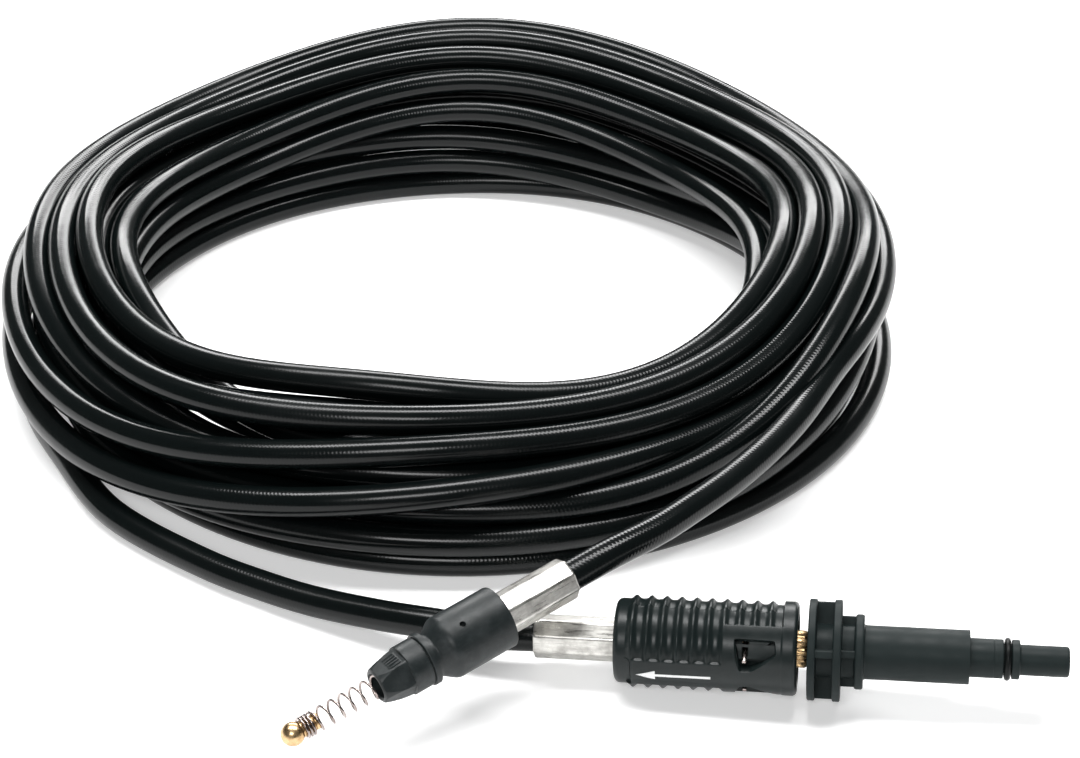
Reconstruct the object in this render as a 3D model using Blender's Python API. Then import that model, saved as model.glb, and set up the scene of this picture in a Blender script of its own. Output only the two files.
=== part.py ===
"""Drain-cleaning hose for a pressure washer: fifteen metres of black hose in a loose coil.

One end carries a quick coupling with a ribbed pull sleeve and a bayonet adapter. The other
end carries a nozzle holder with a springy brass tip. Metres, +Z up, floor at z = 0.
"""
import math

import bpy
import bmesh
from mathutils import Matrix, Vector

# Shared clearances
GAP = 0.0003
SEGMENTS = 32

# Hose
HOSE_D = 0.010
TAIL_STEP = 2.0 * HOSE_D
TAIL_STAND_OFF = 0.0007

# Coil: the outer shape of the turns
COIL_OUTER_R = 0.153
COIL_BORE_R = 0.114
COIL_H = 0.066
COIL_SEGMENTS = 60
TURN_GROOVE = 0.0022

# Connector end: the axis starts where the hose enters its ferrule
CONNECTOR_START = Vector((0.0389, -0.1989, 0.0))
CONNECTOR_HEADING = math.radians(-5.6)
CONNECTOR_PITCH = math.radians(2.4)
FLANGE_CLEARANCE = 0.0009
CLIP_TILT = math.radians(9.5)

FERRULE_D = 0.0128
FERRULE_LENGTH = 0.0280
FERRULE_FLATS = 8
CRIMP_DEPTH = 0.0004

SLEEVE_START = 0.0253
SLEEVE_LENGTH = 0.0559
SLEEVE_TRAVEL = 0.003
SLEEVE_END_WALL = 0.0028
SLEEVE_BORE_D = 0.0210
SLEEVE_COLLAR_D = 0.0261
SLEEVE_COLLAR_LENGTH = 0.0039
SLEEVE_ROOT_D = 0.0262
SLEEVE_PANEL_D = 0.0284
SLEEVE_RIM_D = 0.0288
SLEEVE_RIM_LENGTH = 0.0048
RIB_COUNT = 10
RIB_FIRST = 0.0057
RIB_END_SPACE = 0.0035
RIB_PITCH = (SLEEVE_LENGTH - SLEEVE_RIM_LENGTH - RIB_FIRST - RIB_END_SPACE) / (RIB_COUNT - 1)
RIB_BASE = 0.0026
BAND_HALF_ANGLE = math.radians(20.6)
PANEL_HALF_ANGLE = math.radians(72.0)
PANEL_LENGTH = 0.0223

CLIP_WIRE_D = 0.0015
CLIP_FROM_END = 0.0157
CLIP_STATION = SLEEVE_START + SLEEVE_LENGTH - CLIP_FROM_END
CLIP_LEG_OFFSET = 0.0062
CLIP_BEND_CENTRE = -0.0028
WINDOW_LEFT_TOP = (-0.0031, math.radians(63.0))
WINDOW_RIGHT_TOP = (0.0089, math.radians(62.0))
WINDOW_RIGHT = (0.0093, math.radians(42.0))
WINDOW_LOW_RIGHT = (SLEEVE_TRAVEL - 0.0012, math.radians(16.0))
WINDOW_LOW_LEFT = (-0.0013, math.radians(16.0))

CORE_INSET = 0.0026

PLUG_D = 0.0118
PLUG_DEPTH = 0.0215
PLUG_TEETH = 8
PLUG_TOOTH_DEPTH = 0.0008

ADAPTER_CLEARANCE = 0.0031
ADAPTER_START = SLEEVE_START + SLEEVE_LENGTH + ADAPTER_CLEARANCE
FLANGE_D = 0.0310
FLANGE_T = 0.0024
FLANGE_SPACE = 0.00525
DISC_D = 0.0229
DISC_T = 0.0027
DISC_SPACE = 0.0041
BARREL_D = 0.0165
BARREL_LENGTH = 0.0316
STEP_D = 0.0119
STEP_LENGTH = 0.0102
SEAL_OUTER_D = 0.0131
SEAL_SECTION_D = 0.0019
SEAL_COLLAR_D = 0.0120
SEAL_COLLAR_LENGTH = 0.0024
SPIGOT_D = 0.0093
SPIGOT_LENGTH = 0.0148
WATERWAY_D = 0.0050
WEB_T = 0.0022
WEB_INSET = 0.0007
WEB_TURN = math.radians(-41.5)

# Nozzle end: the axis starts at the centre of the brass ball, and the holder lies on the coupling's hose
BALL_D = 0.0073
BALL_CENTRE = Vector((-0.0296, -0.2547, 0.0178))
NOZZLE_HEADING = math.radians(36.8)
NOZZLE_PITCH = math.radians(9.0)

STEM_D = 0.0052
STEM_LENGTH = 0.0087
SPRING_D = 0.0074
SPRING_WIRE_D = 0.0008
SPRING_PITCH = 0.0040
SPRING_WRAPS = 3
SPRING_WRAP_PITCH = 0.0011
SPRING_WRAP_START = 0.0031
TIP_TRAVEL = 0.012

NOSE_GAP = 0.0082
NOSE_START = STEM_LENGTH + TIP_TRAVEL + NOSE_GAP
NOSE_FRONT_D = 0.0108
NOSE_BACK_D = 0.0152
NOSE_LENGTH = 0.0096
NOSE_FLATS = 6
CAP_BODY_D = 0.0158
CAP_BODY_LENGTH = 0.0067
CAP_RING_D = 0.0168
CAP_RING_LENGTH = 0.0022
CAP_FLOOR = 0.0026

HOLDER_D = 0.0201
HOLDER_LENGTH = 0.0206
HOLDER_NECK_D = 0.0140
HOLDER_NECK_LENGTH = 0.0010
HOLDER_CONE_LENGTH = 0.0044
HOLDER_SOCKET_DEPTH = 0.0040
SIGHT_HOLE_D = 0.0018
SIGHT_HOLE_STATION = 0.0057
SIGHT_HOLE_TURN = math.radians(25.0)
SIGHT_HOLE_DEPTH = 0.0014
NOZZLE_FERRULE_LENGTH = 0.0291


def material(name, colour, roughness, metallic=0.0):
    """A Principled material with a plain colour."""
    mat = bpy.data.materials.new(name)
    mat.use_nodes = True
    shader = mat.node_tree.nodes["Principled BSDF"]
    shader.inputs["Base Color"].default_value = (*colour, 1.0)
    shader.inputs["Roughness"].default_value = roughness
    shader.inputs["Metallic"].default_value = metallic
    mat.diffuse_color = (*colour, 1.0)
    return mat


def add_object(name, data, parent, mat=None):
    obj = bpy.data.objects.new(name, data)
    bpy.context.collection.objects.link(obj)
    obj.parent = parent
    if mat:
        data.materials.append(mat)
    return obj


def loft(name, loops, parent, mat=None, ring=False):
    """A skin over equal loops of points: closed back on itself as a ring, or capped flat."""
    bm = bmesh.new()
    rows = [[bm.verts.new(point) for point in loop] for loop in loops]
    pairs = list(zip(rows, rows[1:]))
    if ring:
        pairs.append((rows[-1], rows[0]))
    for lower, upper in pairs:
        for i in range(len(lower)):
            j = (i + 1) % len(lower)
            bm.faces.new((lower[i], lower[j], upper[j], upper[i]))
    if not ring:
        bm.faces.new(rows[0])
        bm.faces.new(rows[-1])
    bmesh.ops.recalc_face_normals(bm, faces=bm.faces)
    mesh = bpy.data.meshes.new(name)
    bm.to_mesh(mesh)
    bm.free()
    mesh.shade_smooth()
    mesh.set_sharp_from_angle(angle=math.radians(30.0))
    return add_object(name, mesh, parent, mat)


def circle(station, radius, count=SEGMENTS):
    """Points around local X; radius is a number or a function of the angle."""
    loop = []
    for i in range(count):
        angle = math.tau * i / count
        r = radius(angle) if callable(radius) else radius
        loop.append((station, r * math.cos(angle), r * math.sin(angle)))
    return loop


def turned(name, profile, parent, mat=None, ring=False, count=SEGMENTS):
    """A body turned about local X from (station, radius) pairs."""
    return loft(name, [circle(s, r, count) for s, r in profile], parent, mat, ring)


def flats(apothem, count):
    """Radius function of a regular polygon about the axis."""
    half = math.pi / count

    def radius(angle):
        return apothem / math.cos((angle % (2 * half)) - half)
    return radius


def capped_flats(apothem, limit, count):
    """Polygon flats cut on a round body of radius limit."""
    polygon = flats(apothem, count)
    return lambda angle: min(limit, polygon(angle))


def cut(target, cutter):
    """Take the cutter's shape out of the target."""
    cutter.hide_render = True
    cutter.display_type = "WIRE"
    boolean = target.modifiers.new(cutter.name, "BOOLEAN")
    boolean.operation = "DIFFERENCE"
    boolean.object = cutter


def box_mesh(name, low, high, parent):
    """A box between two corners."""
    (x0, y0, z0), (x1, y1, z1) = low, high
    return loft(name, [[(x, y0, z0), (x, y1, z0), (x, y1, z1), (x, y0, z1)] for x in (x0, x1)], parent)


def smooth_route(points, step):
    """Even points on a Catmull-Rom curve through hand-chosen points; the last stretch is kept straight."""
    pts = [2 * points[0] - points[1]] + points
    dense = []
    fine = 24
    for a, b, c, d in zip(pts, pts[1:], pts[2:], pts[3:]):
        for k in range(fine):
            t = k / fine
            dense.append(0.5 * (2 * b + (c - a) * t + (2 * a - 5 * b + 4 * c - d) * t * t
                                + (3 * b - a - 3 * c + d) * t ** 3))
    dense.append(pts[-2])
    lengths = [0.0]
    for p, q in zip(dense, dense[1:]):
        lengths.append(lengths[-1] + (q - p).length)
    count = max(2, round(lengths[-1] / step) + 1)
    route = []
    i = 0
    for k in range(count):
        target = lengths[-1] * k / (count - 1)
        while i < len(dense) - 2 and lengths[i + 1] < target:
            i += 1
        share = (target - lengths[i]) / (lengths[i + 1] - lengths[i])
        route.append(dense[i].lerp(dense[i + 1], min(1.0, share)))
    return route + [points[-1]]


def tube(name, route, diameter, parent, mat, sides=3):
    """A round bar along a polyline, with filled ends."""
    data = bpy.data.curves.new(name, "CURVE")
    data.dimensions = "3D"
    spline = data.splines.new("POLY")
    spline.points.add(len(route) - 1)
    for point, place in zip(spline.points, route):
        point.co = (*place, 1.0)
    data.bevel_depth = diameter / 2
    data.bevel_resolution = sides
    data.use_fill_caps = True
    return add_object(name, data, parent, mat)


def frame_empty(name, frame, parent):
    empty = bpy.data.objects.new(name, None)
    bpy.context.collection.objects.link(empty)
    empty.parent = parent
    empty.matrix_basis = frame
    return empty


def coil_profile():
    """Section of the coil: grooves between the turns on the ends and round the sides."""
    across = round((COIL_OUTER_R - COIL_BORE_R) / HOSE_D)
    high = round(COIL_H / HOSE_D)
    wide_pitch = (COIL_OUTER_R - COIL_BORE_R) / across
    high_pitch = COIL_H / high
    crown = 0.34

    def side(start, direction, inward, pitch, count):
        points = []
        for i in range(count):
            base = start + direction * (pitch * i)
            if i:
                points.append(base + inward * TURN_GROOVE)
            points.append(base + direction * (pitch * (0.5 - crown / 2)))
            points.append(base + direction * (pitch * (0.5 + crown / 2)))
        return points

    corners = [Vector((COIL_OUTER_R, COIL_H)), Vector((COIL_OUTER_R, 0.0)),
               Vector((COIL_BORE_R, 0.0)), Vector((COIL_BORE_R, COIL_H))]
    pitches = [high_pitch, wide_pitch, high_pitch, wide_pitch]
    counts = [high, across, high, across]
    outline = []
    for i, corner in enumerate(corners):
        direction = (corners[(i + 1) % 4] - corner).normalized()
        inward = Vector((direction.y, -direction.x))
        outline += side(corner, direction, inward, pitches[i], counts[i])
    return outline


def make_coil(parent, mat):
    loops = []
    outline = coil_profile()
    for k in range(COIL_SEGMENTS):
        angle = math.tau * k / COIL_SEGMENTS
        loops.append([(p.x * math.cos(angle), p.x * math.sin(angle), p.y) for p in outline])
    return loft("hose_coil", loops, parent, mat, ring=True)


def make_ferrule(name, length, station, parent, mat):
    """A crimped ferrule with flats, slightly smaller at both ends."""
    end = 0.0012
    body = flats(FERRULE_D / 2, FERRULE_FLATS)
    small = flats(FERRULE_D / 2 - CRIMP_DEPTH, FERRULE_FLATS)
    return loft(name, [circle(station, small), circle(station + end, body),
                       circle(station + length - end, body), circle(station + length, small)], parent, mat)


def sleeve_stations():
    """Stations along the sleeve, each with its ribbed radius and its plain radius."""
    collar = SLEEVE_COLLAR_D / 2
    root = SLEEVE_ROOT_D / 2
    panel = SLEEVE_PANEL_D / 2
    rim = SLEEVE_RIM_D / 2
    chamfer = 0.0012
    rows = [(0.0, collar - chamfer, collar - chamfer), (chamfer, collar, collar),
            (SLEEVE_COLLAR_LENGTH, collar, collar)]
    for i in range(RIB_COUNT):
        middle = RIB_FIRST + RIB_PITCH * i
        rows.append((middle - RIB_BASE / 2, root, panel if i else collar))
        rows.append((middle, panel, panel))
        rows.append((middle + RIB_BASE / 2, root, panel))
    rim_start = SLEEVE_LENGTH - SLEEVE_RIM_LENGTH
    rows += [(rim_start, root, panel), (rim_start + 0.0004, rim, rim),
             (SLEEVE_LENGTH - chamfer, rim, rim), (SLEEVE_LENGTH, rim - chamfer, rim - chamfer)]
    return rows


def make_sleeve(parent, mat):
    """The ribbed pull sleeve, with a plain band and panel on the side of its windows."""
    step = math.radians(0.6)
    angles = [math.tau * i / SEGMENTS - math.pi for i in range(SEGMENTS)]
    for edge in (BAND_HALF_ANGLE, PANEL_HALF_ANGLE):
        angles += [edge, edge + step, -edge, -edge - step]
    angles.sort()

    def loop(station, radius):
        return [(station, radius(a) * math.cos(a), radius(a) * math.sin(a)) for a in angles]

    loops = []
    for station, ribbed, plain in sleeve_stations():
        half = PANEL_HALF_ANGLE if station > SLEEVE_LENGTH - PANEL_LENGTH else BAND_HALF_ANGLE
        loops.append(loop(SLEEVE_START + station,
                          lambda a, r=ribbed, p=plain, h=half: p if abs(a) <= h + 1e-6 else r))
    bore = SLEEVE_BORE_D / 2
    entry = FERRULE_D / 2 / math.cos(math.pi / FERRULE_FLATS) + GAP
    wall = SLEEVE_START + SLEEVE_END_WALL
    inner = ((SLEEVE_START + SLEEVE_LENGTH, bore), (wall, bore), (wall, entry), (SLEEVE_START, entry))
    for station, radius in inner:
        loops.append(loop(station, lambda a, r=radius: r))
    sleeve = loft("pull_sleeve", loops, parent, mat, ring=True)
    for sign, name in ((-1, "window_upper"), (1, "window_lower")):
        cut(sleeve, make_window(name, sign, parent))
    return sleeve


def make_window(name, sign, parent):
    """A five-sided cutter for one of the windows where the clip's legs come through."""
    corners = (WINDOW_LEFT_TOP, WINDOW_RIGHT_TOP, WINDOW_RIGHT, WINDOW_LOW_RIGHT, WINDOW_LOW_LEFT)
    surface = SLEEVE_PANEL_D / 2
    middle = sign * (WINDOW_LEFT_TOP[1] + WINDOW_LOW_LEFT[1]) / 2
    outward = Vector((0.0, math.cos(middle), math.sin(middle)))
    across = Vector((0.0, -math.sin(middle), math.cos(middle)))
    loops = []
    for depth in (SLEEVE_BORE_D / 2 * 0.5, surface * 1.4):
        loop = []
        for station, angle in corners:
            offset = surface * math.sin(sign * angle - middle)
            loop.append(Vector((CLIP_STATION + station, 0.0, 0.0)) + outward * depth + across * offset)
        loops.append(loop)
    return loft(name, loops, parent)


def make_core(parent, mat):
    """Inner body of the coupling: bore for the plug and a cross slot for the clip."""
    start = SLEEVE_START + SLEEVE_END_WALL + GAP
    end = SLEEVE_START + SLEEVE_LENGTH - CORE_INSET
    outer = SLEEVE_BORE_D / 2 - GAP
    bore = PLUG_D / 2 + GAP
    floor = ADAPTER_START - GAP - PLUG_DEPTH - GAP
    core = turned("coupling_core", [(start, outer), (end - 0.0008, outer), (end, outer - 0.0008),
                                    (end, bore), (floor, bore)], parent, mat)
    half = CLIP_WIRE_D / 2 + GAP
    reach = CLIP_LEG_OFFSET + half
    slot = box_mesh("clip_slot", (CLIP_STATION - half, -2 * outer, -reach),
                    (CLIP_STATION + half, 2 * outer, reach), parent)
    cut(core, slot)
    return core


def make_clip(parent, mat):
    """U of spring wire whose two legs straddle the groove in the plug."""
    tip_r = SLEEVE_PANEL_D / 2 - 0.0004
    tip = math.sqrt(tip_r ** 2 - CLIP_LEG_OFFSET ** 2)
    route = [Vector((CLIP_STATION, tip, -CLIP_LEG_OFFSET))]
    steps = 10
    for k in range(steps + 1):
        angle = -math.pi / 2 - math.pi * k / steps
        route.append(Vector((CLIP_STATION, CLIP_BEND_CENTRE + CLIP_LEG_OFFSET * math.cos(angle),
                             CLIP_LEG_OFFSET * math.sin(angle))))
    route.append(Vector((CLIP_STATION, tip, CLIP_LEG_OFFSET)))
    return tube("wire_clip", route, CLIP_WIRE_D, parent, mat, sides=2)


def make_plug(parent, mat):
    """Brass plug between the coupling and the adapter, grooved for the clip and toothed at its head."""
    end = ADAPTER_START - GAP
    start = end - PLUG_DEPTH
    head = end - 0.0036
    radius = PLUG_D / 2
    groove = CLIP_LEG_OFFSET - CLIP_WIRE_D / 2 - GAP
    half = CLIP_WIRE_D / 2 + GAP

    def teeth(angle):
        wave = abs(((angle * PLUG_TEETH / math.tau) % 1.0) - 0.5) * 2
        return radius - PLUG_TOOTH_DEPTH * wave

    profile = [(start, radius - 0.0006), (start + 0.0006, radius),
               (CLIP_STATION - half, radius), (CLIP_STATION - half, groove),
               (CLIP_STATION + half, groove), (CLIP_STATION + half, radius),
               (head - 0.0004, radius), (head, teeth), (end, teeth)]
    return turned("brass_plug", profile, parent, mat)


def adapter_stations():
    """Stations of the adapter's shoulders, each from the one before."""
    flange_1 = ADAPTER_START + FLANGE_T
    flange_2 = flange_1 + FLANGE_SPACE
    disc = flange_2 + FLANGE_T + DISC_SPACE
    barrel = disc + DISC_T
    step = barrel + BARREL_LENGTH
    seal = step + STEP_LENGTH
    collar = seal + SEAL_SECTION_D + 2 * GAP
    spigot = collar + SEAL_COLLAR_LENGTH
    tip = spigot + SPIGOT_LENGTH
    return flange_1, flange_2, disc, barrel, step, seal, collar, spigot, tip


def make_adapter(parent, mat):
    """Bayonet adapter: two flanges and a disc with webs, a barrel, and a spigot with a seal."""
    flange_1, flange_2, disc, barrel, step, seal, collar, spigot, tip = adapter_stations()
    flange_r, disc_r, barrel_r = FLANGE_D / 2, DISC_D / 2, BARREL_D / 2
    step_r, collar_r, spigot_r = STEP_D / 2, SEAL_COLLAR_D / 2, SPIGOT_D / 2
    hub = barrel_r
    groove = SEAL_OUTER_D / 2 - SEAL_SECTION_D - GAP
    way = WATERWAY_D / 2
    edge = 0.0006
    profile = [(ADAPTER_START, way), (ADAPTER_START, flange_r - edge), (ADAPTER_START + edge, flange_r),
               (flange_1 - edge, flange_r), (flange_1, flange_r - edge), (flange_1, hub),
               (flange_2, hub), (flange_2, flange_r - edge), (flange_2 + edge, flange_r),
               (flange_2 + FLANGE_T - edge, flange_r), (flange_2 + FLANGE_T, flange_r - edge),
               (flange_2 + FLANGE_T, hub), (disc, hub), (disc, disc_r - edge), (disc + edge, disc_r),
               (disc + DISC_T - edge, disc_r), (barrel, disc_r - edge), (barrel, barrel_r),
               (step - edge, barrel_r), (step, barrel_r - edge), (step, step_r), (seal, step_r),
               (seal, groove), (collar, groove), (collar, collar_r), (spigot, collar_r),
               (spigot, spigot_r), (tip - edge, spigot_r), (tip, spigot_r - edge), (tip, way)]
    adapter = turned("adapter_body", profile, parent, mat, ring=True)
    overlap = 0.0008
    spans = ((flange_1 - overlap, flange_2 + overlap, flange_r - WEB_INSET),
             (flange_2 + FLANGE_T - overlap, disc + overlap, disc_r - WEB_INSET))
    for n, (low, high, reach) in enumerate(spans):
        for k in range(2):
            web = box_mesh(f"web_{n}_{k}", (low, -reach, -WEB_T / 2), (high, reach, WEB_T / 2), parent)
            turn = Matrix.Rotation(WEB_TURN + k * math.pi / 2, 4, "X")
            web.data.transform(turn)
            bore_ends = [(low - overlap, hub - overlap), (high + overlap, hub - overlap)]
            bore = turned(f"web_bore_{n}_{k}", bore_ends, parent)
            cut(web, bore)
            join = adapter.modifiers.new(web.name, "BOOLEAN")
            join.operation = "UNION"
            join.object = web
            web.hide_render = True
            web.display_type = "WIRE"
    return adapter


def make_seal(parent, mat):
    """The O-ring in its groove behind the collar."""
    seal = adapter_stations()[5]
    middle = seal + GAP + SEAL_SECTION_D / 2
    section = SEAL_SECTION_D / 2
    mean = SEAL_OUTER_D / 2 - section
    count = 10
    profile = []
    for k in range(count):
        angle = math.tau * k / count
        profile.append((middle + section * math.cos(angle), mean + section * math.sin(angle)))
    return turned("adapter_seal", profile, parent, mat, ring=True)


def make_tip(parent, mat):
    """Brass ball with a stem that the spring grips."""
    radius = BALL_D / 2
    stem = STEM_D / 2
    rings = 10
    last = math.acos(-math.sqrt(1 - (stem / radius) ** 2))
    profile = []
    for k in range(1, rings + 1):
        angle = last * k / rings
        profile.append((-radius * math.cos(angle), radius * math.sin(angle)))
    profile += [(STEM_LENGTH - 0.0004, stem), (STEM_LENGTH, stem - 0.0004)]
    return turned("brass_tip", profile, parent, mat, count=24)


def spring_seat():
    """Station of the spring's last turn, against the floor of the cap's bore."""
    return cap_back() - CAP_FLOOR - GAP - SPRING_WIRE_D / 2


def make_spring(parent, mat):
    """Open spring whose first turns wrap the brass stem."""
    mean = (SPRING_D - SPRING_WIRE_D) / 2
    per_turn = 12
    wrap_end = SPRING_WRAP_START + SPRING_WRAPS * SPRING_WRAP_PITCH
    open_length = spring_seat() - wrap_end
    open_turns = round(open_length / SPRING_PITCH)
    route = []
    total = (SPRING_WRAPS + open_turns) * per_turn
    for k in range(total + 1):
        turn = k / per_turn
        if turn <= SPRING_WRAPS:
            station = SPRING_WRAP_START + turn * SPRING_WRAP_PITCH
        else:
            station = wrap_end + (turn - SPRING_WRAPS) * open_length / open_turns
        angle = math.tau * turn
        route.append(Vector((station, mean * math.cos(angle), mean * math.sin(angle))))
    return tube("tip_spring", route, SPRING_WIRE_D, parent, mat, sides=1)


def cap_back():
    """Station of the cap's back face, where the holder's neck meets it."""
    return NOSE_START + NOSE_LENGTH + CAP_BODY_LENGTH + CAP_RING_LENGTH


def make_cap(parent, mat):
    """Nozzle cap: a nose with flats, a round body, a ring, and the bore that holds the spring."""
    body = NOSE_START + NOSE_LENGTH
    ring = body + CAP_BODY_LENGTH
    back = cap_back()
    bore = SPRING_D / 2 + GAP
    front_r, back_r = NOSE_FRONT_D / 2, NOSE_BACK_D / 2
    loops = [circle(back - CAP_FLOOR, bore), circle(NOSE_START, bore), circle(NOSE_START, front_r - 0.0006)]
    steps = 4
    for k in range(steps + 1):
        share = k / steps
        station = NOSE_START + 0.0006 + (NOSE_LENGTH - 0.0006) * share
        limit = front_r + (back_r - front_r) * math.sin(share * math.pi / 2)
        apothem = front_r * 0.96 + (back_r * 0.93 - front_r * 0.96) * share
        loops.append(circle(station, capped_flats(apothem, limit, NOSE_FLATS)))
    loops += [circle(body, CAP_BODY_D / 2), circle(ring, CAP_BODY_D / 2), circle(ring, CAP_RING_D / 2),
              circle(back - 0.0004, CAP_RING_D / 2), circle(back, CAP_RING_D / 2 - 0.0004)]
    return loft("nozzle_cap", loops, parent, mat)


def make_holder(parent, mat):
    """Nozzle holder: neck, cone and cylinder, with a socket for the ferrule and a small sight hole."""
    neck = cap_back() + GAP
    cone = neck + HOLDER_NECK_LENGTH
    barrel = cone + HOLDER_CONE_LENGTH
    end = barrel + HOLDER_LENGTH
    radius = HOLDER_D / 2
    socket = FERRULE_D / 2 / math.cos(math.pi / FERRULE_FLATS) + GAP
    edge = 0.0007
    profile = [(neck, HOLDER_NECK_D / 2), (cone, HOLDER_NECK_D / 2), (barrel - edge, radius - edge),
               (barrel, radius), (end - edge, radius), (end, radius - edge), (end, socket),
               (end - HOLDER_SOCKET_DEPTH, socket)]
    holder = turned("nozzle_holder", profile, parent, mat)
    rim = [(barrel + SIGHT_HOLE_STATION + SIGHT_HOLE_D / 2 * math.cos(math.tau * k / 12),
            SIGHT_HOLE_D / 2 * math.sin(math.tau * k / 12)) for k in range(12)]
    depths = (radius - SIGHT_HOLE_DEPTH, radius * 1.3)
    hole = loft("sight_hole", [[(x, y, z) for x, y in rim] for z in depths], parent)
    hole.data.transform(Matrix.Rotation(SIGHT_HOLE_TURN, 4, "X"))
    cut(holder, hole)
    return holder


def holder_end():
    return cap_back() + GAP + HOLDER_NECK_LENGTH + HOLDER_CONE_LENGTH + HOLDER_LENGTH


def beside_coil(degrees, height):
    """A point where a tail lies against the coil's outer side."""
    radius = COIL_OUTER_R + TAIL_STAND_OFF + HOSE_D / 2
    angle = math.radians(degrees)
    return Vector((radius * math.cos(angle), radius * math.sin(angle), height))


def straight_exit(frame, station, direction):
    """The hose's last points, in line with its ferrule and up to the ferrule's face."""
    return [frame @ Vector((station + direction * (GAP + step), 0.0, 0.0)) for step in (0.0, 1.5 * HOSE_D)]


def connector_route(frame):
    """From the coil's left side along the floor to the connector's ferrule."""
    on_floor = HOSE_D / 2
    start, last = straight_exit(frame, 0.0, -1.0)
    return [beside_coil(-161.0, on_floor), beside_coil(-153.0, on_floor),
            Vector((-0.1303, -0.0914, on_floor)), Vector((-0.1075, -0.1262, on_floor)),
            Vector((-0.0707, -0.1548, on_floor)), Vector((-0.0525, -0.1654, on_floor + 0.0004)),
            Vector((-0.0343, -0.1749, on_floor + 0.0014)), Vector((-0.0107, -0.1854, on_floor + 0.0041)),
            Vector((0.0093, -0.1931, on_floor + 0.0067)), last, start]


def nozzle_route(frame):
    """From the coil's right side, round its front, to the nozzle's ferrule."""
    face = holder_end() - HOLDER_SOCKET_DEPTH + GAP + NOZZLE_FERRULE_LENGTH
    start, last = straight_exit(frame, face, 1.0)
    return [beside_coil(-24.0, 0.0430), beside_coil(-31.0, 0.0390),
            Vector((0.1239, -0.1075, 0.0376)), Vector((0.1153, -0.1227, 0.0370)),
            Vector((0.1067, -0.1359, 0.0365)), Vector((0.0963, -0.1500, 0.0362)),
            Vector((0.0862, -0.1622, 0.0362)), Vector((0.0764, -0.1733, 0.0361)), last, start]


def build():
    for obj in list(bpy.data.objects):
        bpy.data.objects.remove(obj, do_unlink=True)

    rubber = material("hose_black", (0.012, 0.014, 0.015), 0.32)
    plastic = material("plastic_black", (0.028, 0.034, 0.036), 0.5)
    steel = material("ferrule_steel", (0.62, 0.62, 0.60), 0.38, 1.0)
    wire = material("spring_steel", (0.70, 0.70, 0.70), 0.22, 1.0)
    brass = material("brass", (0.72, 0.50, 0.22), 0.28, 1.0)
    seal = material("seal_rubber", (0.010, 0.010, 0.011), 0.55)

    root = frame_empty("assembly", Matrix.Identity(4), None)
    height = FLANGE_D / 2 + FLANGE_CLEARANCE - ADAPTER_START * math.sin(CONNECTOR_PITCH)
    connector_frame = (Matrix.Translation(CONNECTOR_START + Vector((0.0, 0.0, height)))
                       @ Matrix.Rotation(CONNECTOR_HEADING, 4, "Z") @ Matrix.Rotation(-CONNECTOR_PITCH, 4, "Y")
                       @ Matrix.Rotation(math.pi + CLIP_TILT, 4, "X"))
    connector = frame_empty("connector_axis", connector_frame, root)
    nozzle_frame = (Matrix.Translation(BALL_CENTRE)
                    @ Matrix.Rotation(NOZZLE_HEADING, 4, "Z")
                    @ Matrix.Rotation(-NOZZLE_PITCH, 4, "Y"))
    nozzle = frame_empty("nozzle_axis", nozzle_frame, root)

    make_coil(root, rubber)
    for name, route in (("hose_tail_connector", connector_route(connector_frame)),
                        ("hose_tail_nozzle", nozzle_route(nozzle_frame))):
        tube(name, smooth_route(route, TAIL_STEP), HOSE_D, root, rubber)

    make_ferrule("connector_ferrule", FERRULE_LENGTH, 0.0, connector, steel)
    make_core(connector, plastic)
    make_clip(connector, wire)
    make_sleeve(connector, plastic)
    make_plug(connector, brass)
    make_adapter(connector, plastic)
    make_seal(connector, seal)

    nozzle_face = holder_end() - HOLDER_SOCKET_DEPTH + GAP
    make_ferrule("nozzle_ferrule", NOZZLE_FERRULE_LENGTH, nozzle_face, nozzle, steel)
    make_holder(nozzle, plastic)
    make_cap(nozzle, plastic)
    make_spring(nozzle, wire)
    make_tip(nozzle, brass)
    centre_on_origin(root)


def centre_on_origin(root):
    """Put the middle of the whole part's box over the origin, with the floor left at z = 0."""
    bpy.context.view_layer.update()
    graph = bpy.context.evaluated_depsgraph_get()
    low, high = [math.inf] * 2, [-math.inf] * 2
    for obj in bpy.data.objects:
        if obj.type == "EMPTY" or obj.hide_render:
            continue
        evaluated = obj.evaluated_get(graph)
        mesh = evaluated.to_mesh()
        for vertex in mesh.vertices:
            place = evaluated.matrix_world @ vertex.co
            for axis in range(2):
                low[axis] = min(low[axis], place[axis])
                high[axis] = max(high[axis], place[axis])
        evaluated.to_mesh_clear()
    root.location = (-(low[0] + high[0]) / 2, -(low[1] + high[1]) / 2, 0.0)


build()
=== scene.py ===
"""A drain cleaning hose for a pressure washer, lying coiled on a pale floor.

Lengths are in metres unless a name says otherwise. The fittings are modelled along the X axis of
two frames, the coupling's and the nozzle's, which stand where part.py puts them.
"""

import math

import bmesh
import bpy
import numpy as np
from mathutils import Matrix, Vector


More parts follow.
